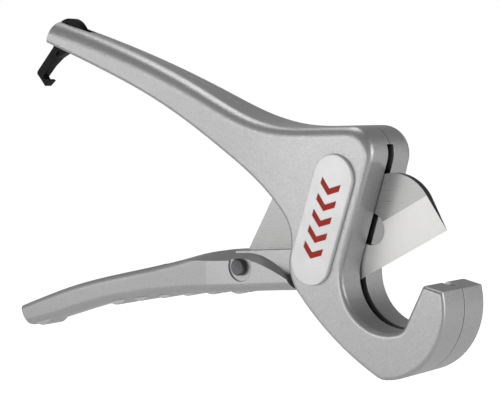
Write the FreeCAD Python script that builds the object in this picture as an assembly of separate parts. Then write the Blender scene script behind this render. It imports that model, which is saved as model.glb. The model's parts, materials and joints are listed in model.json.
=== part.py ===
import FreeCAD, Part
import math
import os

# Single-stroke cutter for plastic pipe.  Millimetres, +Z up, jaw towards +X, front face towards -Y.
# Everything is drawn in the X-Z plane about the lever's pivot axis, with the parting plane between
# the two body halves at y = 0, and given its thickness along Y.  The finished parts are then moved
# so that the origin is on the flat rear face, straight behind the middle of the badge.

V = FreeCAD.Vector
AXIS = V(0, 1, 0)

# ---- driving dimensions ----
half_depth = 14.5            # each body half, at the head
jaw_radius = 19.8            # cradle for plastic pipe up to 33.4 mm outside diameter (1 in nominal)
jaw_centre = (40.0, -1.7)
edge_round = 2.0             # rounding along the throat, cradle and hook
blade_thick = 3.1
blade_room = 0.5             # beside the blade, each side
open_angle = 21.0            # lever travel from rest until fully open
close_angle = 40.5           # lever travel from rest until fully closed
edge_slope = 29.0            # cutting edge above horizontal at rest
edge_offset = 13.2           # cutting edge below the pivot axis
blade_reach = 61.1           # pivot axis to blade tip
hub_radius = 8.3             # blade and lever around the pivot
hub_half_width = 6.0
ear_half_width = 10.8
ear_clear = 10.9             # ear's hollow end, concentric with the pivot
bush_radius = 4.5
pivot_radius = 3.0
handle_pin_at = (-33.8, -2.7)
handle_pin_radius = 3.5
spot_radius = 6.0            # flat around the handle pin's ends
badge_low = (6.3, 2.9)       # centres of the badge's two round ends
badge_high = (17.1, 35.9)
badge_radius = 9.2
badge_raise = 1.6
badge_sink = 1.2             # part of the badge let into the head
latch_at = (-143.5, 93.0)
latch_half_width = 1.9
latch_side_gap = 0.6         # filled by a washer on each side
latch_washer_radius = 3.4
running_gap = 0.05           # radial clearance of every turning fit
beyond = 20.0                # depth past every outer face, for cutters

slot_half = blade_thick / 2 + blade_room


# ---- drawing helpers ----
def at(point, y=0.0):
    """A point (x, z) of the side view placed at depth y."""
    return V(point[0], y, point[1])


def polar(radius, degrees, centre=(0.0, 0.0)):
    a = math.radians(degrees)
    return (centre[0] + radius * math.cos(a), centre[1] + radius * math.sin(a))


def line(a, b, y=0.0):
    return Part.makeLine(at(a, y), at(b, y))


def arc(a, via, b, y=0.0):
    return Part.Arc(at(a, y), at(via, y), at(b, y)).toShape()


def curve(points, y=0.0):
    spline = Part.BSplineCurve()
    spline.interpolate([at(p, y) for p in points])
    return spline.toShape()


def plate(edges, y0, y1):
    """Solid between depths y0 and y1 from a closed run of edges drawn at y = 0."""
    face = Part.Face(Part.Wire(edges))
    face.translate(V(0, y0, 0))
    return face.extrude(V(0, y1 - y0, 0))


def polygon(points):
    return [line(a, b) for a, b in zip(points, points[1:] + points[:1])]


def disc(radius, centre, y0, y1):
    return Part.makeCylinder(radius, y1 - y0, at(centre, y0), AXIS)


def block(x0, x1, y0, y1, z0, z1):
    return Part.makeBox(x1 - x0, y1 - y0, z1 - z0, V(x0, y0, z0))


plan_low = -60.0             # shapes drawn from above stand between these heights
plan_high = 120.0


def plan_line(a, b):
    """Line between two points (x, y) seen from above."""
    return Part.makeLine(V(a[0], a[1], plan_low), V(b[0], b[1], plan_low))


def plan_curve(points):
    spline = Part.BSplineCurve()
    spline.interpolate([V(x, y, plan_low) for x, y in points])
    return spline.toShape()


def plan_solid(edges):
    return Part.Face(Part.Wire(edges)).extrude(V(0, 0, plan_high - plan_low))


def stadium(low, high, radius):
    """Edges of a round-ended strip between two centres."""
    dx, dz = high[0] - low[0], high[1] - low[1]
    angle = math.degrees(math.atan2(dz, dx))
    side = [polar(radius, angle + 90, c) for c in (low, high)]
    other = [polar(radius, angle - 90, c) for c in (low, high)]
    return [line(side[0], side[1]), arc(side[1], polar(radius, angle, high), other[1]),
            line(other[1], other[0]), arc(other[0], polar(radius, angle + 180, low), side[0])]


def nearest_edge(shape, point):
    """Index of the edge whose middle lies nearest a point."""
    def away(edge):
        middle = edge.valueAt((edge.FirstParameter + edge.LastParameter) / 2)
        return (middle - V(*point)).Length
    return min(range(len(shape.Edges)), key=lambda i: away(shape.Edges[i]))


def rounded(shape, rounds):
    """Round edges by (point near the edge's middle, radius at one end, radius at the other)."""
    document = FreeCAD.newDocument()
    base = document.addObject("Part::Feature")
    base.Shape = shape
    fillet = document.addObject("Part::Fillet")
    fillet.Base = base
    fillet.Edges = [(nearest_edge(shape, p) + 1, r0, r1) for p, r0, r1 in rounds]
    document.recompute()
    result = fillet.Shape.copy()
    FreeCAD.closeDocument(document.Name)
    return result


def mirrored(shape):
    return shape.mirror(V(0, 0, 0), AXIS)


# ---- body halves ----
throat_angle = 73.0                    # throat wall above horizontal
head_round = 10.5                      # radius of the head's upper corner
head_top_z = 55.8
hook_tip = (57.0, -1.9)
hook_outer = (66.2, -3.4)
hook_angle = 64.0                      # inner wall of the hook above horizontal
jaw_blend = 5.0                        # between cradle and hook wall
hook_centre = (38.1, -11.2)
hook_radius = 28.4
hook_start_angle = 15.6                # where the hook's outer arc begins, in degrees
boss_centre = (11.3, 1.5)
boss_radius = 17.0
belly_radius = 118.0                   # long curve under the head
belly_start = 221.0                    # where it leaves the boss, in degrees
belly_blend = 7.0
boss_high = (-4.95, 6.4)
parting_depth = 0.5
parting_half_width = 0.2
handle_under = [(-152.4, 90.7), (-116.4, 78.1), (-79.1, 63.5), (-43.5, 45.4), (-12.2, 24.2),
                (-6.4, 17.0), boss_high]
handle_half_depth = [(-156.0, 8.2), (-90.0, 9.3), (-50.0, 11.6), (-22.0, 13.7)]
handle_top = [(-148.4, 100.4), (-125.2, 93.9), (-88.2, 81.8), (-53.6, 68.1), (-31.9, 59.4),
              (-14.0, 55.5), (4.0, 55.2)]


def meet(c0, r0, c1, r1, side):
    """Crossing of two circles, on the chosen side of the line between their centres."""
    d = math.dist(c0, c1)
    along = (r0 ** 2 - r1 ** 2 + d ** 2) / (2 * d)
    off = side * math.sqrt(r0 ** 2 - along ** 2)
    ux, uz = (c1[0] - c0[0]) / d, (c1[1] - c0[1]) / d
    return (c0[0] + ux * along - uz * off, c0[1] + uz * along + ux * off)


def towards(a, b, distance):
    d = math.dist(a, b)
    return (a[0] + (b[0] - a[0]) * distance / d, a[1] + (b[1] - a[1]) * distance / d)


def bend(centre, radius, a, b):
    """Arc about centre from a to b, the short way round."""
    start = math.degrees(math.atan2(a[1] - centre[1], a[0] - centre[0]))
    end = math.degrees(math.atan2(b[1] - centre[1], b[0] - centre[0]))
    turn = (end - start + 180) % 360 - 180
    return arc(a, polar(radius, start + turn / 2, centre), b)


def body_outline():
    # throat wall: touches the cradle below and the head corner above
    wall = (math.cos(math.radians(throat_angle)), math.sin(math.radians(throat_angle)))
    throat_low = polar(jaw_radius, throat_angle + 90, jaw_centre)
    corner_z = head_top_z - head_round
    corner_x = throat_low[0] - (head_round + (throat_low[1] - corner_z) * wall[0]) / wall[1]
    corner = (corner_x, corner_z)
    head_top = (corner_x, head_top_z)
    throat_high = polar(head_round, throat_angle - 90, corner)
    # hook wall and the blend from the cradle into it
    hook = (math.cos(math.radians(hook_angle)), math.sin(math.radians(hook_angle)))
    gap = (hook_tip[0] - hook[1] * jaw_blend - jaw_centre[0],
           hook_tip[1] + hook[0] * jaw_blend - jaw_centre[1])
    along = gap[0] * hook[0] + gap[1] * hook[1]
    across = gap[0] * hook[1] - gap[1] * hook[0]
    down = along + math.sqrt((jaw_radius - jaw_blend) ** 2 - across ** 2)
    blend = (jaw_centre[0] + gap[0] - hook[0] * down, jaw_centre[1] + gap[1] - hook[1] * down)
    cradle_end = towards(jaw_centre, blend, jaw_radius)
    hook_low = (blend[0] + hook[1] * jaw_blend, blend[1] - hook[0] * jaw_blend)
    # belly curve and the blend into the outside of the hook
    belly_low = polar(boss_radius, belly_start, boss_centre)
    belly_centre = towards(belly_low, boss_centre, belly_radius)
    foot = meet(hook_centre, hook_radius - belly_blend, belly_centre, belly_radius - belly_blend, -1)
    belly_end = towards(belly_centre, foot, belly_radius)
    hook_foot = towards(hook_centre, foot, hook_radius)
    hook_start = polar(hook_radius, hook_start_angle, hook_centre)
    return [curve(handle_top + [head_top]),
            bend(corner, head_round, head_top, throat_high),
            line(throat_high, throat_low),
            bend(jaw_centre, jaw_radius, throat_low, cradle_end),
            bend(blend, jaw_blend, cradle_end, hook_low),
            line(hook_low, hook_tip),
            line(hook_tip, hook_start),
            bend(hook_centre, hook_radius, hook_start, hook_foot),
            bend(foot, belly_blend, hook_foot, belly_end),
            bend(belly_centre, belly_radius, belly_end, belly_low),
            bend(boss_centre, boss_radius, belly_low, boss_high),
            curve(handle_under[::-1]),
            line(handle_under[0], handle_top[0])]


def body_width():
    """The half seen from above: full depth at the head, slim along the handle."""
    left, right = handle_half_depth[0][0], 80.0
    side = [(x, -depth) for x, depth in handle_half_depth + [(0.0, half_depth)]]
    return plan_solid([plan_curve(side),
                       plan_line(side[-1], (right, -half_depth)),
                       plan_line((right, -half_depth), (right, 0)),
                       plan_line((right, 0), (left, 0)),
                       plan_line((left, 0), side[0])])


def half_blank():
    return plate(body_outline(), -half_depth, 0).common(body_width())


def parting_groove():
    """Fine line all round where the two halves meet."""
    inside = Part.Face(Part.Wire(body_outline())).makeOffset2D(-parting_depth).toNurbs()
    inside.translate(V(0, 2, 0))
    everything = block(-200, 100, -parting_half_width, 1, -80, 140)
    return everything.cut(inside.extrude(V(0, -4, 0)))


def rounded_half():
    face = -half_depth
    shape = rounded(half_blank(), [
        ((-74, -10, 77), 4.5, 7.0),                      # top of the handle
        ((11, face, 55), 4.5, 4.5),                      # top of the head
        ((31, face, 52), edge_round + 0.5, 4.5),         # head corner
        ((27, face, 23), edge_round, edge_round + 0.5),  # throat wall
        ((26, face, -16), edge_round, edge_round),       # cradle
        ((48, face, -20), edge_round, edge_round),
        ((53, face, -10), edge_round, edge_round)])      # hook wall
    outer = edge_round - 0.5
    points = [(61, face, -27), (39, face, -39), (17, face, -27), (-1, face, -10), (-5, face, -2),
              (-70, -10, 60), (62, face, -3)]
    return rounded(shape, [(p, outer, outer) for p in points])


# ---- hollows shared by both halves, drawn for the front one ----
screw_radius = 2.0
screw_head_radius = 3.9
pivot_head_radius = 3.9
screw_room = 0.2             # clearance around shanks and heads
screw_key = (1.9, 1.4)       # hexagon recess: radius and depth
head_sink = 2.6              # heads sit in counterbores this deep
long_screw_tip = 10.4
short_screw_tip = 6.9
long_screws = [(-16.0, 45.5), (25.0, -25.0), (47.5, -30.5)]
short_screws = [(-66.0, 66.6), (-112.0, 83.6)]
short_head_y = 6.0
dowel_radius = 2.0
dowel_at = [(-27.0, 47.0), (40.0, -32.0)]
dowel_half = 5.0
stop_pin_at = (0.2, 40.65)
stop_pin_radius = 2.0
stop_pin_half = 7.8
latch_pin_radius = 1.5
latch_pin_half = 6.5
latch_head_radius = 2.7


def blade_outline():
    """Edge along the bottom, tip at the right, tail at the left around the handle pin."""
    back = [(50.4, 30.1), (44.4, 35.6), (35.1, 38.0)]
    tail_corner = (-20.2, 32.0)
    tail_round = 5.6
    heel_length = 4.0                  # square end of the edge
    hub_low = (0.0, -hub_radius)
    down = math.radians(edge_slope)
    foot = (edge_offset * math.sin(down), -edge_offset * math.cos(down))
    tip_along = math.sqrt(blade_reach ** 2 - edge_offset ** 2)
    tip = (foot[0] + tip_along * math.cos(down), foot[1] + tip_along * math.sin(down))
    heel = (foot[0] + heel_length * math.cos(down), foot[1] + heel_length * math.sin(down))
    tail_left = polar(tail_round, 151, handle_pin_at)
    tail_low = polar(tail_round, 268, handle_pin_at)
    return [line(heel, tip),
            line(tip, back[0]),
            arc(*back),
            line(back[2], tail_corner),
            line(tail_corner, tail_left),
            arc(tail_left, polar(tail_round, 210, handle_pin_at), tail_low),
            line(tail_low, hub_low),
            line(hub_low, heel)]


def blade_hollow():
    """Room for the blade from fully open to fully closed."""
    reach = blade_reach + 1.0
    tail_reach = 41.0
    closed = edge_slope - close_angle - 1.0
    below = edge_offset + 0.9
    right = closed - math.degrees(math.asin(below / reach))
    left = closed + 180 + math.degrees(math.asin(below / tail_reach))
    opened = [(reach, 36.5), (60.3, 43.5), (59.3, 52.0), (57.6, 60.0), (54.6, 65.0), (52.4, 68.5),
              (47.2, 75.0), (42.8, 82.0), (41.0, 88.0)]
    points = [polar(r, a) for r, a in opened]
    return plate([arc(polar(reach, right), polar(reach, 10), points[0]),
                  curve(points),
                  arc(points[-1], polar(tail_reach, 150), polar(tail_reach, left)),
                  line(polar(tail_reach, left), polar(reach, right))], -slot_half, 0)


def hub_hollow():
    """Room for the lever's hub, open towards the lower handle."""
    depth = hub_half_width + washer_gap + washer_thick
    wedge_radius = 17.0
    high, low = 95.0, 272.0                # swept by the tongue from closed to open, in degrees
    wedge = plate([line((0, 0), polar(wedge_radius, high)),
                   arc(polar(wedge_radius, high), polar(wedge_radius, 190), polar(wedge_radius, low)),
                   line(polar(wedge_radius, low), (0, 0))], -depth, 0)
    return disc(hub_radius + 0.9, (0, 0), -depth, 0).fuse(wedge)


def handle_channel(x0, x1):
    """Coring inside the upper handle, open underneath, between two stations."""
    wall = 4.6
    top = [(x, z - wall) for x, z in handle_top]
    core = plate([curve(top), line(top[-1], (top[-1][0], 10)), line((top[-1][0], 10), (top[0][0], 10)),
                  line((top[0][0], 10), top[0])], -wall, 0)
    return core.common(block(x0, x1, -10, 0, 0, 120))


def latch_slot():
    return block(-160, -129.0, -latch_half_width - latch_side_gap, 0, 60, 120)


def common_hollows():
    cuts = [parting_groove(), blade_hollow(), hub_hollow(), latch_slot(),
            handle_channel(-106, -73), handle_channel(-60, -44),
            disc(stop_pin_radius, stop_pin_at, -stop_pin_half - 0.2, 0),
            disc(latch_pin_radius, latch_at, -latch_pin_half, 0)]
    cuts += [disc(dowel_radius, p, -dowel_half, 0) for p in dowel_at]
    return cuts


def front_body_half():
    cuts = common_hollows()
    cuts += [disc(screw_radius, p, -long_screw_tip - 0.1, 0) for p in long_screws]
    cuts += [disc(screw_radius, p, -short_screw_tip - 0.1, 0) for p in short_screws]
    cuts.append(disc(pivot_thread_radius, (0, 0), -pivot_tip - 0.2, 0))
    cuts.append(disc(pivot_radius, (0, 0), -pivot_shoulder, 0))
    shape = rounded_half().cut(cuts)
    seat = plate(stadium(badge_low, badge_high, badge_radius), -half_depth, -half_depth + badge_sink)
    return shape.cut(seat)


def spring_hollow():
    """Room for the coil around a short post, open towards the lower handle."""
    inner, outer = spring_pocket
    left = -12.0
    ring = plate([line((left, outer), (0, outer)), arc((0, outer), (outer, 0), (0, -outer)),
                  line((0, -outer), (left, -outer)), line((left, -outer), (left, outer))],
                 0, spring_end + spring_wire / 2 + 0.3)
    return ring.cut(disc(inner, (0, 0), 0, beyond))


def rear_body_half():
    shape = mirrored(rounded_half().cut(common_hollows()))
    cuts = [spring_hollow(),
            disc(pivot_radius, (0, 0), 0, beyond),
            disc(pivot_head_radius + 0.1, (0, 0), half_depth - head_sink, beyond),
            disc(spring_wire / 2 + running_gap, (spring_radius, 0.0), 0, spring_end + body_leg + 0.1),
            disc(latch_head_radius + 0.2, latch_at, latch_pin_half, beyond)]
    seats = [(p, half_depth - head_sink) for p in long_screws] + [(p, short_head_y) for p in short_screws]
    for p, seat in seats:
        cuts += [disc(screw_radius + screw_room, p, 0, beyond),
                 disc(screw_head_radius + screw_room, p, seat, beyond)]
    return shape.cut(cuts)


# ---- badge ----
def badge_plate():
    front = -half_depth - badge_raise
    shape = plate(stadium(badge_low, badge_high, badge_radius), front, -half_depth + badge_sink)
    rim = [e for e in shape.Edges if e.BoundBox.YMax < front + 0.01]
    return shape.makeFillet(0.5, rim).cut(chevron_bars(0.0))


def chevron_bars(gap):
    """Five V-shaped bars in a row along the badge, their fronts set back by gap."""
    dx, dz = badge_high[0] - badge_low[0], badge_high[1] - badge_low[1]
    length = math.hypot(dx, dz)
    ux, uz = dx / length, dz / length
    half_width, thick, drop, pitch, sunk = 4.6, 2.7, 3.2, 6.6, 0.8
    front = -half_depth - badge_raise
    bars = []
    for step in range(-2, 3):
        base = length / 2 + step * pitch
        spine = [(-half_width, drop), (0.0, 0.0), (half_width, drop)]
        corners = [(s, base + t) for s, t in spine] + [(s, base + t - thick) for s, t in reversed(spine)]
        points = [(badge_low[0] + ux * t + uz * s, badge_low[1] + uz * t - ux * s) for s, t in corners]
        bars.append(plate(polygon(points), front + gap, front + sunk))
    return bars


def badge_inlay():
    """Enamel filling of the bars, a little below the plate's face."""
    return Part.makeCompound(chevron_bars(0.25))


# ---- pivot ----
spring_wire = 1.1
spring_radius = 5.2
spring_start = hub_half_width + 0.65
spring_turns = 2
spring_end = spring_start + spring_turns * (spring_wire + 0.25)
hub_leg = 2.2                # spring end sunk in the lever's hub
body_leg = 1.5               # spring end sunk in the rear half
spring_pocket = (4.3, 6.1)   # inner and outer radius
washer_radius = 5.0
washer_thick = 0.5
washer_gap = 0.05
pivot_shoulder = 9.0
pivot_thread_radius = 2.2
pivot_tip = 11.8
pivot_head_top = half_depth - 0.2
pivot_key = (2.3, 1.8)       # hexagon recess: radius and depth


def pivot_screw():
    """Shoulder screw: plain shank for the bush, thinner threaded end in the front half."""
    seat = half_depth - head_sink
    shape = disc(pivot_radius, (0, 0), -pivot_shoulder, seat)
    shape = shape.fuse([disc(pivot_thread_radius, (0, 0), -pivot_tip, -pivot_shoulder),
                        disc(pivot_head_radius, (0, 0), seat, pivot_head_top)])
    return shape.cut(hexagon_recess((0, 0), pivot_key, pivot_head_top))


def pivot_bush():
    sleeve = disc(bush_radius, (0, 0), -hub_half_width, hub_half_width)
    return sleeve.cut(disc(pivot_radius + running_gap, (0, 0), -beyond, beyond))


def washer(radius, y):
    """Ring around the pivot screw, its front face at depth y."""
    hole = disc(pivot_radius + 2 * running_gap, (0, 0), -beyond, beyond)
    return disc(radius, (0, 0), y, y + washer_thick).cut(hole)


def thrust_washer_front():
    return washer(washer_radius, -hub_half_width - washer_gap - washer_thick)


def thrust_washer_rear():
    """Small enough to lie inside the spring's coil."""
    return washer(spring_pocket[0] - 0.1, hub_half_width + washer_gap)


def torsion_spring():
    """Coil around the pivot screw; one end sits in the lever hub, the other in the rear half."""
    height = spring_end - spring_start
    helix = Part.makeHelix(height / spring_turns, height, spring_radius)
    ring = Part.Wire(Part.makeCircle(spring_wire / 2, V(spring_radius, 0, 0), V(0, 1, 0)))
    coil = Part.Wire(helix.Edges).makePipeShell([ring], True, True)
    coil.rotate(V(0, 0, 0), V(1, 0, 0), -90)      # coil axis from +Z to +Y
    coil.translate(V(0, spring_start, 0))
    foot = (spring_radius, 0.0)
    radius = spring_wire / 2
    legs = [disc(radius, foot, hub_half_width - hub_leg, spring_start),
            disc(radius, foot, spring_end, spring_end + body_leg)]
    knees = [Part.makeSphere(radius, at(foot, y)) for y in (spring_start, spring_end)]
    return coil.fuse(legs + knees)


# ---- fasteners ----
def hexagon_recess(centre, key, top):
    radius, depth = key
    corners = [polar(radius, 60 * i, centre) for i in range(6)]
    return plate(polygon(corners), top - depth, top)


def cap_screw(centre, tip_y, seat_y, head_height):
    """Round-headed screw with a hexagon recess, head towards the rear."""
    top = seat_y + head_height
    head = disc(screw_head_radius, centre, seat_y, top)
    head = head.makeFillet(0.6, [e for e in head.Edges if e.BoundBox.YMin > top - 0.01])
    shape = disc(screw_radius, centre, tip_y, seat_y).fuse(head)
    return shape.cut(hexagon_recess(centre, screw_key, top))


def long_body_screws():
    seat = half_depth - head_sink
    return Part.makeCompound([cap_screw(p, -long_screw_tip, seat, 2.3) for p in long_screws])


def short_body_screws():
    return Part.makeCompound([cap_screw(p, -short_screw_tip, short_head_y, 2.0) for p in short_screws])


def locating_dowels():
    length = dowel_half - 0.2
    return Part.makeCompound([disc(dowel_radius, p, -length, length) for p in dowel_at])


def open_stop_pin():
    return disc(stop_pin_radius, stop_pin_at, -stop_pin_half, stop_pin_half)


# ---- blade ----
bevel_width = 15.1
hole_at = (24.8, 15.9)
hole_radius = 6.4


def blade():
    """Flat plate ground on both faces down to the straight edge."""
    half = blade_thick / 2
    edge_half = 0.05
    long = 90.0                        # longer than the blade
    shape = plate(blade_outline(), -half, half)
    down = math.radians(edge_slope)
    normal = V(-math.sin(down), 0, math.cos(down))
    profile = [(-edge_offset, edge_half), (bevel_width - edge_offset, half), (long, half)]
    corners = [normal * n + V(0, -y, 0) for n, y in profile]
    corners += [normal * n + V(0, y, 0) for n, y in reversed(profile)]
    section = Part.Face(Part.makePolygon(corners + corners[:1]))
    along = V(math.cos(down), 0, math.sin(down))
    section.translate(along * -long)
    shape = shape.common(section.extrude(along * 2 * long))
    holes = [(hole_radius, hole_at), (bush_radius, (0, 0)), (handle_pin_radius, handle_pin_at)]
    return shape.cut([disc(radius, centre, -beyond, beyond) for radius, centre in holes])


# ---- lower handle ----
grip_top = [(-174.4, -32.8), (-159.5, -27.3), (-139.0, -20.3), (-112.9, -13.3), (-88.1, -7.5),
            (-70.9, -3.1), (-53.1, 1.6), (-39.8, 3.3), (-28.5, 3.6)]
grip_bottom = [(-7.0, -10.2), (-19.6, -11.5), (-35.6, -13.3), (-60.6, -16.0), (-90.0, -20.7),
               (-118.1, -26.7), (-144.5, -34.9), (-167.4, -41.6)]
grip_end = (-172.6, -38.2)
grip_half_width = [(-176, 6.3), (-140, 6.6), (-100, 7.6), (-72, 9.3), (-52, ear_half_width)]
grip_top_round = 3.0
grip_low_round = 3.5
grip_end_round = 1.5
rib_stations = [-160.5, -111.2, -96.9, -82.6, -68.3, -54.0, -39.7]
rib_half_length = 4.4
rib_height = 1.2
rib_half_width = 5.2
spot_face = 10.1             # from the parting plane to the flats around the handle pin
blade_slot_left = -58.0
end_slot_half = latch_half_width + 0.4   # slot across the grip's end
end_slot_reach = 164.5


def grip_outline():
    nose_high = polar(ear_clear, 203)
    nose_low = polar(ear_clear, 238)
    return [curve(grip_top),
            arc(grip_top[-1], (-19.5, 0.6), nose_high),
            arc(nose_high, polar(ear_clear, 220), nose_low),
            line(nose_low, grip_bottom[0]),
            curve(grip_bottom),
            arc(grip_bottom[-1], grip_end, grip_top[0])]


def grip_width():
    """The lower handle seen from above: a slim grip widening to the fork."""
    near = [(x, -y) for x, y in grip_half_width] + [(0.0, -ear_half_width)]
    far = [(x, -y) for x, y in reversed(near)]
    return plan_solid([plan_curve(near[:-1]),
                       plan_line(near[-2], near[-1]),
                       plan_line(near[-1], far[0]),
                       plan_line(far[0], far[1]),
                       plan_curve(far[1:]),
                       plan_line(far[-1], near[0])])


def fork_bevel():
    """Cutter for the sloping shoulders on top of the fork, front side."""
    def wire(points, y):
        high = 30.0
        first, last = points[0], points[-1]
        edges = [curve(points, y), line(last, (last[0], high), y),
                 line((last[0], high), (first[0], high), y), line((first[0], high), first, y)]
        return Part.Wire(edges)
    inner = [(-80, -5.4), (-68, -2.2), (-53, 1.8), (-40, 3.5), (-28.5, 3.7), (-20, 0.7), (-12, -6.0)]
    outer = [(-80, -6.6), (-68, -3.4), (-53, -1.9), (-40, -0.8), (-28.5, 0.0), (-20, -1.8), (-9, -5.8)]
    return Part.makeLoft([wire(inner, -3.4), wire(outer, -11.2)], True, True)


def ribs():
    """Low rounded bumps across the underside of the grip."""
    radius = (rib_half_length ** 2 + rib_height ** 2) / (2 * rib_height)
    shapes = []
    for x in rib_stations:
        after = next(i for i in range(len(grip_bottom)) if grip_bottom[i][0] < x)
        (xa, za), (xb, zb) = grip_bottom[after - 1], grip_bottom[after]
        z = za + (zb - za) * (x - xa) / (xb - xa)
        shapes.append(disc(radius, (x, z - rib_height + radius), -rib_half_width, rib_half_width))
    return shapes


def tongue():
    """Web between the fork and the hub, which carries the handle on the pivot."""
    fork_high, fork_low = (-40.0, 3.0), (-36.0, -13.0)
    shoulder = (-6.4, 6.2)
    hub_high, hub_low = polar(hub_radius, 136), polar(hub_radius, 262)
    return plate([line(fork_high, shoulder),
                  line(shoulder, hub_high),
                  arc(hub_high, polar(hub_radius, 0), hub_low),
                  line(hub_low, fork_low),
                  line(fork_low, fork_high)], -hub_half_width, hub_half_width)


def grip_bar():
    """The grip's bar with its long edges rounded, front and rear alike."""
    bar = plate(grip_outline(), -12, 12).common(grip_width())
    rounds = [((-103, 7.5, -11), grip_top_round),
              ((-97, 7.7, -22), grip_low_round),
              ((-172.6, 6.3, -38.2), grip_end_round)]
    sides = [((x, side * y, z), radius) for (x, y, z), radius in rounds for side in (-1, 1)]
    return rounded(bar, [(p, radius, radius) for p, radius in sides])


def rib_room():
    """Keeps the bumps on the underside only."""
    lowered = [(x, z - 2.0) for x, z in grip_bottom]
    raised = [(x, z + 4.0) for x, z in grip_bottom]
    return plate([curve(raised), line(raised[-1], lowered[-1]), curve(lowered[::-1]),
                  line(lowered[0], raised[0])], -beyond, beyond)


def latch_catch_slot():
    """Slot across the free end of the grip for the latch's hook."""
    left, right, low = -200.0, -140.0, -80.0
    around = disc(-left, (0, 0), -end_slot_half, end_slot_half)
    ring = around.cut(disc(end_slot_reach, (0, 0), -beyond, beyond))
    return ring.common(block(left, right, -beyond, beyond, low, 0))


def lower_handle():
    bevel = fork_bevel()
    bar = grip_bar().cut([bevel, mirrored(bevel)])
    room = rib_room()
    bar = bar.fuse([rib.common(room) for rib in ribs()] + [tongue()])
    blade_slot = blade_thick / 2 + running_gap
    leg_hole = spring_wire / 2 + running_gap
    leg_bottom = hub_half_width - hub_leg - 0.1
    return bar.cut([block(blade_slot_left, beyond, -blade_slot, blade_slot, -beyond, beyond),
                    disc(bush_radius, (0, 0), -beyond, beyond),
                    disc(handle_pin_radius, handle_pin_at, -beyond, beyond),
                    disc(spot_radius, handle_pin_at, -beyond, -spot_face),
                    disc(spot_radius, handle_pin_at, spot_face, beyond),
                    disc(leg_hole, (spring_radius, 0.0), leg_bottom, beyond),
                    latch_catch_slot()])


pin_front = -12.5            # ends of the handle pin
pin_rear = 12.6
groove = (11.1, 12.0)        # ring groove near the rear end
groove_radius = 2.7
clip_radius = 5.0
clip_play = 0.05


def handle_pin():
    shape = disc(handle_pin_radius, handle_pin_at, pin_front, pin_rear)
    rims = [e for e in shape.Edges if e.Closed]
    shape = shape.makeChamfer(0.5, rims)
    outside = disc(clip_radius, handle_pin_at, *groove)
    return shape.cut(outside.cut(disc(groove_radius, handle_pin_at, -beyond, beyond)))


def handle_pin_clip():
    """Open retaining ring in the pin's groove."""
    x, z = handle_pin_at
    mouth_half = 1.6
    ring = disc(clip_radius, handle_pin_at, groove[0] + clip_play, groove[1] - clip_play)
    ring = ring.cut(disc(groove_radius + clip_play, handle_pin_at, -beyond, beyond))
    return ring.cut(block(x - mouth_half, x + mouth_half, 0, beyond, z - 2 * clip_radius, z))


# ---- latch ----
def latch():
    half = latch_half_width
    tab_left, tab_top, tab_right = (-152.3, 96.8), (-143.8, 101.7), (-135.2, 96.9)
    arm = [tab_right, (-137.4, 91.8), (-142.3, 87.6), (-148.7, 84.9), (-151.0, 83.9), (-156.4, 80.1),
           (-161.3, 75.4), (-160.4, 74.2), (-157.8, 74.2), (-156.7, 73.5), (-160.1, 71.0), (-162.6, 73.8),
           (-165.4, 76.7), (-165.2, 77.8), (-154.2, 88.8), tab_left]
    edges = [arc(tab_left, tab_top, tab_right)] + [line(a, b) for a, b in zip(arm, arm[1:])]
    shape = plate(edges, -half, half)
    pocket = polygon([(-152.4, 84.9), (-151.4, 86.9), (-144.6, 86.9), (-149.0, 85.4)])
    floor = half - 0.7
    return shape.cut([plate(pocket, -half, -floor), plate(pocket, floor, half),
                      disc(latch_pin_radius + running_gap, latch_at, -beyond, beyond)])


def latch_pin():
    head_top = latch_pin_half + 0.9
    shank = disc(latch_pin_radius, latch_at, -latch_pin_half, latch_pin_half)
    return shank.fuse(disc(latch_head_radius, latch_at, latch_pin_half, head_top))


def latch_washers():
    """One thin ring on each side of the latch, around its pin."""
    inner = latch_half_width + running_gap
    outer = latch_half_width + latch_side_gap - running_gap
    ring = disc(latch_washer_radius, latch_at, inner, outer)
    ring = ring.cut(disc(latch_pin_radius + running_gap, latch_at, -beyond, beyond))
    return Part.makeCompound([ring, mirrored(ring)])


# ---- assembly ----
NODES = [front_body_half, rear_body_half, badge_plate, badge_inlay, pivot_screw, pivot_bush,
         thrust_washer_front, thrust_washer_rear, torsion_spring, long_body_screws, short_body_screws,
         locating_dowels, open_stop_pin, blade, lower_handle, handle_pin, handle_pin_clip,
         latch, latch_pin, latch_washers]

badge_middle = ((badge_low[0] + badge_high[0]) / 2, (badge_low[1] + badge_high[1]) / 2)
origin = at(badge_middle, half_depth)


def main():
    os.makedirs("parts", exist_ok=True)
    for node in NODES:
        shape = node()
        shape.translate(origin * -1)
        shape.exportStep("parts/" + node.__name__ + ".step")


main()
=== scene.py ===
import json
import math

import bpy
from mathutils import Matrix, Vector


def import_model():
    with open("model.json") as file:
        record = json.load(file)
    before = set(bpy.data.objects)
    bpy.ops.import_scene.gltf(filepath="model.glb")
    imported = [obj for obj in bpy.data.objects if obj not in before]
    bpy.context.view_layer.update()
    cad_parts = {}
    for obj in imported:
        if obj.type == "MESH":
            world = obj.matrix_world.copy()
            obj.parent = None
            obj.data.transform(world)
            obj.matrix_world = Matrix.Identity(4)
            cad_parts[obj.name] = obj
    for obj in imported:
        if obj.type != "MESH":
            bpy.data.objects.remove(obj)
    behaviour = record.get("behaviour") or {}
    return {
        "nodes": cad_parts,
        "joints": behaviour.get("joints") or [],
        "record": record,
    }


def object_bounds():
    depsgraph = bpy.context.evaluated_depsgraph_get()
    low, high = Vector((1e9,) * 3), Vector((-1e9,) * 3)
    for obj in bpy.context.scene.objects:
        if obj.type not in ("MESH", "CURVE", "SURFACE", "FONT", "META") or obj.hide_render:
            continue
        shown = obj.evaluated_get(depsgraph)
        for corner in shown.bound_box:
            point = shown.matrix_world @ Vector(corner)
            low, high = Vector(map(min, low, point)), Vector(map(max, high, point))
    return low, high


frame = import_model()
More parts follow.
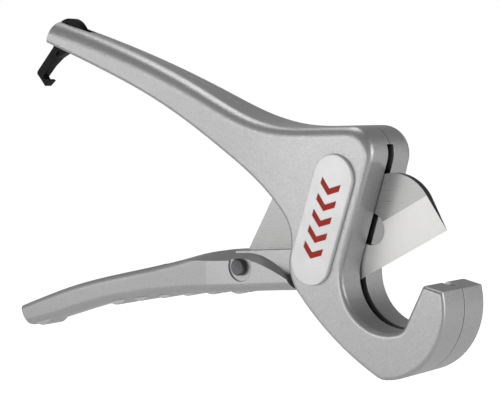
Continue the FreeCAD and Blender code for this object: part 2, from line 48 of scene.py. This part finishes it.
cad_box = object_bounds()

MM = 0.001

# Everything below is placed from the lever's pivot.
PIVOT = next(Vector(joint["pos_m"]) for joint in frame["joints"] if joint["name"] == "lever_pivot")

# The blade's ground bevel, as the CAD model has it.
EDGE_SLOPE = math.radians(29.0)
BEVEL_TOP = 1.9 * MM             # upper end of the bevel, above the pivot axis, square to the edge

# Camera: on the badge's side, a little above, looking along the tool towards the jaw.
LOOK_AT = PIVOT + Vector((-37.24, 0.0, 23.90)) * MM
AZIMUTH = math.radians(40.0)
ELEVATION = math.radians(4.5)
DISTANCE = 600.7 * MM
LENS = 104.4                     # focal length and sensor width, in millimetres
SENSOR = 36.0

FLOOR_DROP = 90.0 * MM           # from the object's lowest point
FLOOR_HALF = 6.0
FLOOR_LIFT = 0.85                # added brightness of the floor, as the camera sees it
FLOOR_GLOW = 0.16                # and as the object sees it
ROOM_FRONT = 0.56                # brightness of the room at the front left
ROOM_BACK = 0.30                 # and opposite
BRIGHT_SIDE = Vector((-0.6, -0.8, 0.0))

# Brightness of the room by height, from straight down (0) to straight up (1).
ROOM_TONES = [(0.0, 0.6), (0.45, 0.9), (0.55, 1.0), (0.72, 0.55), (1.0, 0.35)]

# The Mix node's colour sockets; its earlier ones are for plain numbers and vectors.
MIX_FIRST, MIX_SECOND, MIX_RESULT = 6, 7, 2


# ---- node helpers ----
class Shader:
    """A new material's node tree, with short calls for the nodes that every material here uses."""

    def __init__(self, name, metallic=0.0, specular=0.5):
        self.material = bpy.data.materials.new(name)
        self.material.use_nodes = True
        self.tree = self.material.node_tree
        self.surface = self.tree.nodes["Principled BSDF"]
        self.surface.inputs["Metallic"].default_value = metallic
        self.surface.inputs["Specular IOR Level"].default_value = specular
        self.coordinates = self.tree.nodes.new("ShaderNodeTexCoord")
        self.place = self.coordinates.outputs["Object"]

    def link(self, source, target):
        self.tree.links.new(source, target)

    def noise(self, scale, detail, stretch=(1.0, 1.0, 1.0), turn=(0.0, 0.0, 0.0)):
        """Noise in the object's own metres; scale is in cycles per metre."""
        mapping = self.tree.nodes.new("ShaderNodeMapping")
        mapping.inputs["Scale"].default_value = stretch
        mapping.inputs["Rotation"].default_value = turn
        self.link(self.place, mapping.inputs["Vector"])
        texture = self.tree.nodes.new("ShaderNodeTexNoise")
        texture.inputs["Scale"].default_value = scale
        texture.inputs["Detail"].default_value = detail
        self.link(mapping.outputs["Vector"], texture.inputs["Vector"])
        return texture.outputs["Fac"]

    def spread(self, value, low, high, out_low, out_high):
        """Maps value from low..high to out_low..out_high, clamped."""
        node = self.tree.nodes.new("ShaderNodeMapRange")
        limits = {"From Min": low, "From Max": high, "To Min": out_low, "To Max": out_high}
        for name, number in limits.items():
            node.inputs[name].default_value = number
        self.link(value, node.inputs["Value"])
        return node.outputs["Result"]

    def vary(self, noise, low=0.0, high=1.0):
        """Maps noise, nearly all of which lies between 0.3 and 0.7, to low..high."""
        return self.spread(noise, 0.3, 0.7, low, high)

    def math(self, operation, a, b):
        node = self.tree.nodes.new("ShaderNodeMath")
        node.operation = operation
        for slot, value in zip(node.inputs, (a, b)):
            if isinstance(value, (int, float)):
                slot.default_value = value
            else:
                self.link(value, slot)
        return node.outputs["Value"]

    def mix(self, factor, first, second):
        """Colour between first and second; each is a colour or a socket."""
        node = self.tree.nodes.new("ShaderNodeMix")
        node.data_type = "RGBA"
        self.link(factor, node.inputs["Factor"])
        for slot, value in ((node.inputs[MIX_FIRST], first), (node.inputs[MIX_SECOND], second)):
            if isinstance(value, tuple):
                slot.default_value = (*value, 1.0)
            else:
                self.link(value, slot)
        return node.outputs[MIX_RESULT]

    def dot(self, first, second):
        """Dot product of a socket with a vector or another socket."""
        node = self.tree.nodes.new("ShaderNodeVectorMath")
        node.operation = "DOT_PRODUCT"
        self.link(first, node.inputs[0])
        if isinstance(second, Vector):
            node.inputs[1].default_value = second
        else:
            self.link(second, node.inputs[1])
        return node.outputs["Value"]

    def soft_edges(self, radius):
        """Normals rounded over hard edges."""
        node = self.tree.nodes.new("ShaderNodeBevel")
        node.samples = 6
        node.inputs["Radius"].default_value = radius
        return node.outputs["Normal"]

    def openness(self, distance):
        """1 in the open, 0 deep in a slot or a corner."""
        node = self.tree.nodes.new("ShaderNodeAmbientOcclusion")
        node.samples = 8
        node.inputs["Distance"].default_value = distance
        return node.outputs["AO"]

    def edge_mask(self, rounded):
        """1 on hard outer and inner edges, 0 on flats."""
        geometry = self.tree.nodes.new("ShaderNodeNewGeometry")
        agreement = self.dot(rounded, geometry.outputs["Normal"])
        return self.spread(agreement, 0.97, 0.75, 0.0, 1.0)

    def sideways(self):
        """1 on faces that look along the object's X-Z plane, 0 on its front and rear."""
        across = self.dot(self.coordinates.outputs["Normal"], Vector((0.0, 1.0, 0.0)))
        return self.spread(self.math("MULTIPLY", across, across), 0.4, 0.7, 1.0, 0.0)

    def bump(self, height, strength, distance, normal):
        node = self.tree.nodes.new("ShaderNodeBump")
        node.inputs["Strength"].default_value = strength
        node.inputs["Distance"].default_value = distance
        self.link(height, node.inputs["Height"])
        self.link(normal, node.inputs["Normal"])
        return node.outputs["Normal"]

    def finish(self, colour, roughness, normal):
        self.link(colour, self.surface.inputs["Base Color"])
        self.link(roughness, self.surface.inputs["Roughness"])
        self.link(normal, self.surface.inputs["Normal"])
        return self.material


# ---- materials ----
def casting():
    """Die-cast alloy under a thin silver lacquer: fine metallic speckle, faint casting clouds, and
    painted shade, near black, deep in slots and corners.
    """
    s = Shader("casting", metallic=0.72)
    rounded = s.soft_edges(0.5 * MM)
    speckle = s.noise(2300.0, 2.0)
    clouds = s.noise(55.0, 4.0)
    grain = s.noise(1100.0, 4.0)
    lacquer = s.mix(s.vary(speckle), (0.43, 0.43, 0.435), (0.57, 0.57, 0.575))
    cloudy = s.mix(s.vary(clouds, 0.0, 0.25), lacquer, (0.47, 0.47, 0.475))
    worn = s.mix(s.math("MULTIPLY", s.edge_mask(rounded), 0.35), cloudy, (0.74, 0.74, 0.74))
    # painted shade: the colour goes near black deep in slots and corners, and a little around the badge,
    # following the ambient occlusion mask
    lit = s.spread(s.openness(9.0 * MM), 0.18, 0.56, 0.0, 1.0)
    colour = s.mix(lit, (0.008, 0.008, 0.008), worn)
    roughness = s.vary(grain, 0.32, 0.43)
    height = s.math("ADD", s.math("MULTIPLY", clouds, 2.0), grain)
    return s.finish(colour, roughness, s.bump(height, 0.28, 0.12 * MM, rounded))


def badge_face():
    """Satin plate with a very fine diagonal brush."""
    s = Shader("badge_face", metallic=0.25)
    rounded = s.soft_edges(0.35 * MM)
    brush = s.noise(900.0, 3.0, stretch=(1.0, 1.0, 0.06), turn=(0.0, math.radians(18.0), 0.0))
    haze = s.noise(90.0, 2.0)
    colour = s.mix(s.vary(haze), (0.80, 0.80, 0.81), (0.87, 0.87, 0.87))
    roughness = s.vary(brush, 0.30, 0.42)
    return s.finish(colour, roughness, s.bump(brush, 0.06, 0.05 * MM, rounded))


def badge_enamel():
    """Red enamel, a little uneven where it pooled."""
    s = Shader("badge_enamel", specular=0.2)
    rounded = s.soft_edges(0.15 * MM)
    pooled = s.noise(260.0, 2.0)
    colour = s.mix(s.vary(pooled), (0.42, 0.022, 0.010), (0.52, 0.034, 0.014))
    roughness = s.vary(pooled, 0.40, 0.52)
    return s.finish(colour, roughness, s.bump(pooled, 0.15, 0.08 * MM, rounded))


def blade_steel():
    """Ground across the flats; the bevel is ground finer and square to the edge; the rim is painted dark
    as shade.
    """
    s = Shader("blade_steel", metallic=0.55)
    rounded = s.soft_edges(0.12 * MM)
    along = (0.0, EDGE_SLOPE, 0.0)
    flat_lines = s.noise(2600.0, 3.0, stretch=(0.04, 1.0, 1.0), turn=along)
    bevel_lines = s.noise(2600.0, 3.0, stretch=(1.0, 1.0, 0.05), turn=along)
    wear = s.noise(60.0, 4.0)
    square = Vector((-math.sin(EDGE_SLOPE), 0.0, math.cos(EDGE_SLOPE)))
    top = square.dot(PIVOT) + BEVEL_TOP
    blur = 0.1 * MM
    on_bevel = s.spread(s.dot(s.place, square), top - blur, top + blur, 1.0, 0.0)
    flat = s.mix(s.vary(flat_lines), (0.42, 0.42, 0.418), (0.47, 0.47, 0.468))
    bevel = s.mix(s.vary(bevel_lines), (0.93, 0.925, 0.90), (0.97, 0.965, 0.95))
    plain = s.mix(on_bevel, flat, bevel)
    worn = s.mix(s.spread(wear, 0.5, 0.75, 0.0, 0.15), plain, (0.62, 0.61, 0.59))
    # painted shade: faces that look sideways, the blade's thin rim, are coloured near black
    colour = s.mix(s.sideways(), worn, (0.055, 0.055, 0.057))
    roughness = s.math("ADD", s.vary(flat_lines, 0.26, 0.38), s.math("MULTIPLY", on_bevel, 0.12))
    lines = s.math("ADD", s.math("MULTIPLY", flat_lines, s.math("SUBTRACT", 1.0, on_bevel)),
                   s.math("MULTIPLY", bevel_lines, on_bevel))
    return s.finish(colour, roughness, s.bump(lines, 0.02, 0.03 * MM, rounded))


def turned_metal(name, dark, light, roughness, metallic=0.9):
    """Turned or drawn metal: faint rings, small stains."""
    s = Shader(name, metallic=metallic)
    rounded = s.soft_edges(0.2 * MM)
    rings = s.noise(1700.0, 2.0, stretch=(1.0, 0.2, 1.0))
    stain = s.noise(240.0, 4.0)
    colour = s.mix(s.vary(stain), dark, light)
    rough = s.vary(stain, roughness - 0.06, roughness + 0.08)
    return s.finish(colour, rough, s.bump(rings, 0.12, 0.04 * MM, rounded))


def moulded_plastic(name, dark, light, roughness, specular=0.5):
    """Injection-moulded plastic with a fine spark-eroded grain and scuffed edges."""
    s = Shader(name, specular=specular)
    rounded = s.soft_edges(0.35 * MM)
    grain = s.noise(1500.0, 3.0)
    scuff = s.noise(190.0, 5.0)
    body = s.mix(s.spread(grain, 0.35, 0.65, 0.0, 1.0), dark, light)
    worn = tuple(min(1.0, value * 1.4 + 0.02) for value in light)
    rubbed = s.math("MULTIPLY", s.edge_mask(rounded), s.spread(scuff, 0.4, 0.7, 0.2, 0.7))
    rough = s.vary(scuff, roughness - 0.08, roughness + 0.08)
    return s.finish(s.mix(rubbed, body, worn), rough, s.bump(grain, 0.22, 0.06 * MM, rounded))


def make_materials():
    """One finish for each material slot of the CAD record."""
    soot, coal = (0.003, 0.003, 0.003), (0.008, 0.008, 0.008)
    return {
        "casting": casting(),
        "badge_face": badge_face(),
        "badge_enamel": badge_enamel(),
        "blade_steel": blade_steel(),
        "dark_steel": turned_metal("dark_steel", (0.085, 0.085, 0.088), (0.16, 0.16, 0.165), 0.38),
        "bronze": turned_metal("bronze", (0.34, 0.21, 0.09), (0.50, 0.34, 0.16), 0.40),
        "spring_steel": turned_metal("spring_steel", (0.36, 0.36, 0.37), (0.56, 0.56, 0.57), 0.30),
        "black_screw": turned_metal("black_screw", (0.025, 0.025, 0.026), (0.06, 0.06, 0.062), 0.42),
        "black_plastic": moulded_plastic("black_plastic", soot, coal, 0.38, specular=0.12),
        "white_nylon": moulded_plastic("white_nylon", (0.62, 0.60, 0.54), (0.74, 0.72, 0.66), 0.45),
    }


def dress_nodes():
    """Every CAD node keeps its shape and takes the finish of its material slot."""
    finishes = make_materials()
    for part in frame["record"]["subparts"]:
        node = frame["nodes"][part["node"]]
        for slot in node.material_slots:
            slot.material = finishes[part["material_slot"]]


# ---- surroundings ----
def floor_paper():
    """Pale matte paper; the camera sees it lifted towards white, as in a burnt-out studio shot."""
    s = Shader("floor_paper")
    mottle = s.noise(6.0, 2.0)
    tone = s.mix(s.vary(mottle), (0.90, 0.90, 0.90), (0.93, 0.93, 0.93))
    rays = s.tree.nodes.new("ShaderNodeLightPath")
    s.surface.inputs["Emission Color"].default_value = (1.0, 1.0, 1.0, 1.0)
    lift = s.spread(rays.outputs["Is Camera Ray"], 0.0, 1.0, FLOOR_GLOW, FLOOR_LIFT)
    s.link(lift, s.surface.inputs["Emission Strength"])
    level = s.coordinates.outputs["Normal"]
    return s.finish(tone, s.vary(mottle, 0.70, 0.75), s.bump(mottle, 0.02, 1.0 * MM, level))


def floor():
    """Wide pale sheet, well below the object."""
    lowest_point = cad_box[0][2]
    height = lowest_point - FLOOR_DROP
    corners = [(x * FLOOR_HALF, y * FLOOR_HALF, height) for x, y in ((-1, -1), (1, -1), (1, 1), (-1, 1))]
    mesh = bpy.data.meshes.new("floor")
    mesh.from_pydata(corners, [], [(0, 1, 2, 3)])
    sheet = bpy.data.objects.new("floor", mesh)
    sheet.data.materials.append(floor_paper())
    bpy.context.scene.collection.objects.link(sheet)


def world():
    """White to the camera; to the object, a room bright at the front left and dim behind and above."""
    room = bpy.data.worlds.new("studio")
    bpy.context.scene.world = room
    room.use_nodes = True
    tree = room.node_tree
    tree.nodes.clear()

    def new(kind):
        return tree.nodes.new("ShaderNode" + kind)

    place = new("TexCoord").outputs["Generated"]
    side = new("VectorMath")
    side.operation = "DOT_PRODUCT"
    side.inputs[1].default_value = BRIGHT_SIDE
    tree.links.new(place, side.inputs[0])
    around = new("MapRange")
    limits = {"From Min": -1.0, "From Max": 0.9, "To Min": ROOM_BACK, "To Max": ROOM_FRONT}
    for name, number in limits.items():
        around.inputs[name].default_value = number
    tree.links.new(side.outputs["Value"], around.inputs["Value"])
    split = new("SeparateXYZ")
    tree.links.new(place, split.inputs["Vector"])
    height = new("MapRange")
    height.inputs["From Min"].default_value = -1.0
    tree.links.new(split.outputs["Z"], height.inputs["Value"])
    ramp = new("ValToRGB")
    while len(ramp.color_ramp.elements) < len(ROOM_TONES):
        ramp.color_ramp.elements.new(0.5)
    for element, (position, tone) in zip(ramp.color_ramp.elements, ROOM_TONES):
        element.position = position
        element.color = (tone, tone, tone, 1.0)
    tree.links.new(height.outputs["Result"], ramp.inputs["Fac"])
    lit = new("Background")
    tree.links.new(ramp.outputs["Color"], lit.inputs["Color"])
    tree.links.new(around.outputs["Result"], lit.inputs["Strength"])
    seen = new("Background")
    seen.inputs["Color"].default_value = (1.0, 1.0, 1.0, 1.0)
    choose = new("MixShader")
    tree.links.new(new("LightPath").outputs["Is Camera Ray"], choose.inputs[0])
    tree.links.new(lit.outputs["Background"], choose.inputs[1])
    tree.links.new(seen.outputs["Background"], choose.inputs[2])
    tree.links.new(choose.outputs["Shader"], new("OutputWorld").inputs["Surface"])


def aim(item, target):
    item.rotation_euler = (target - item.location).to_track_quat("-Z", "Y").to_euler()


def area_light(name, direction, distance, size, power):
    """Square soft box in a direction from the object's middle, aimed at it."""
    lamp = bpy.data.lights.new(name, "AREA")
    lamp.size = size
    lamp.energy = power
    item = bpy.data.objects.new(name, lamp)
    item.location = LOOK_AT + Vector(direction).normalized() * distance
    aim(item, LOOK_AT)
    bpy.context.scene.collection.objects.link(item)


def lights():
    """A large box for the front faces, a fill at the jaw, a strip of light on the handle, a rim light."""
    area_light("front", direction=(-0.52, -0.86, -0.06), distance=1.3, size=0.95, power=4.9)
    area_light("fill", direction=(0.16, -1.0, -0.14), distance=1.2, size=0.5, power=2.9)
    area_light("above", direction=(-0.27, 0.16, 0.93), distance=0.60, size=0.36, power=0.85)
    area_light("right", direction=(1.0, 0.35, 0.20), distance=1.3, size=0.8, power=5.2)


def camera():
    lens = bpy.data.cameras.new("camera")
    lens.sensor_width = SENSOR
    lens.lens = LENS
    lens.clip_start = 0.01
    item = bpy.data.objects.new("camera", lens)
    level = Vector((math.sin(AZIMUTH), -math.cos(AZIMUTH), 0.0))
    back = level * math.cos(ELEVATION) + Vector((0.0, 0.0, math.sin(ELEVATION)))
    item.location = LOOK_AT + back * DISTANCE
    aim(item, LOOK_AT)
    bpy.context.scene.collection.objects.link(item)
    bpy.context.scene.camera = item


dress_nodes()
floor()
world()
lights()
camera()
bpy.context.scene.view_settings.view_transform = "Standard"
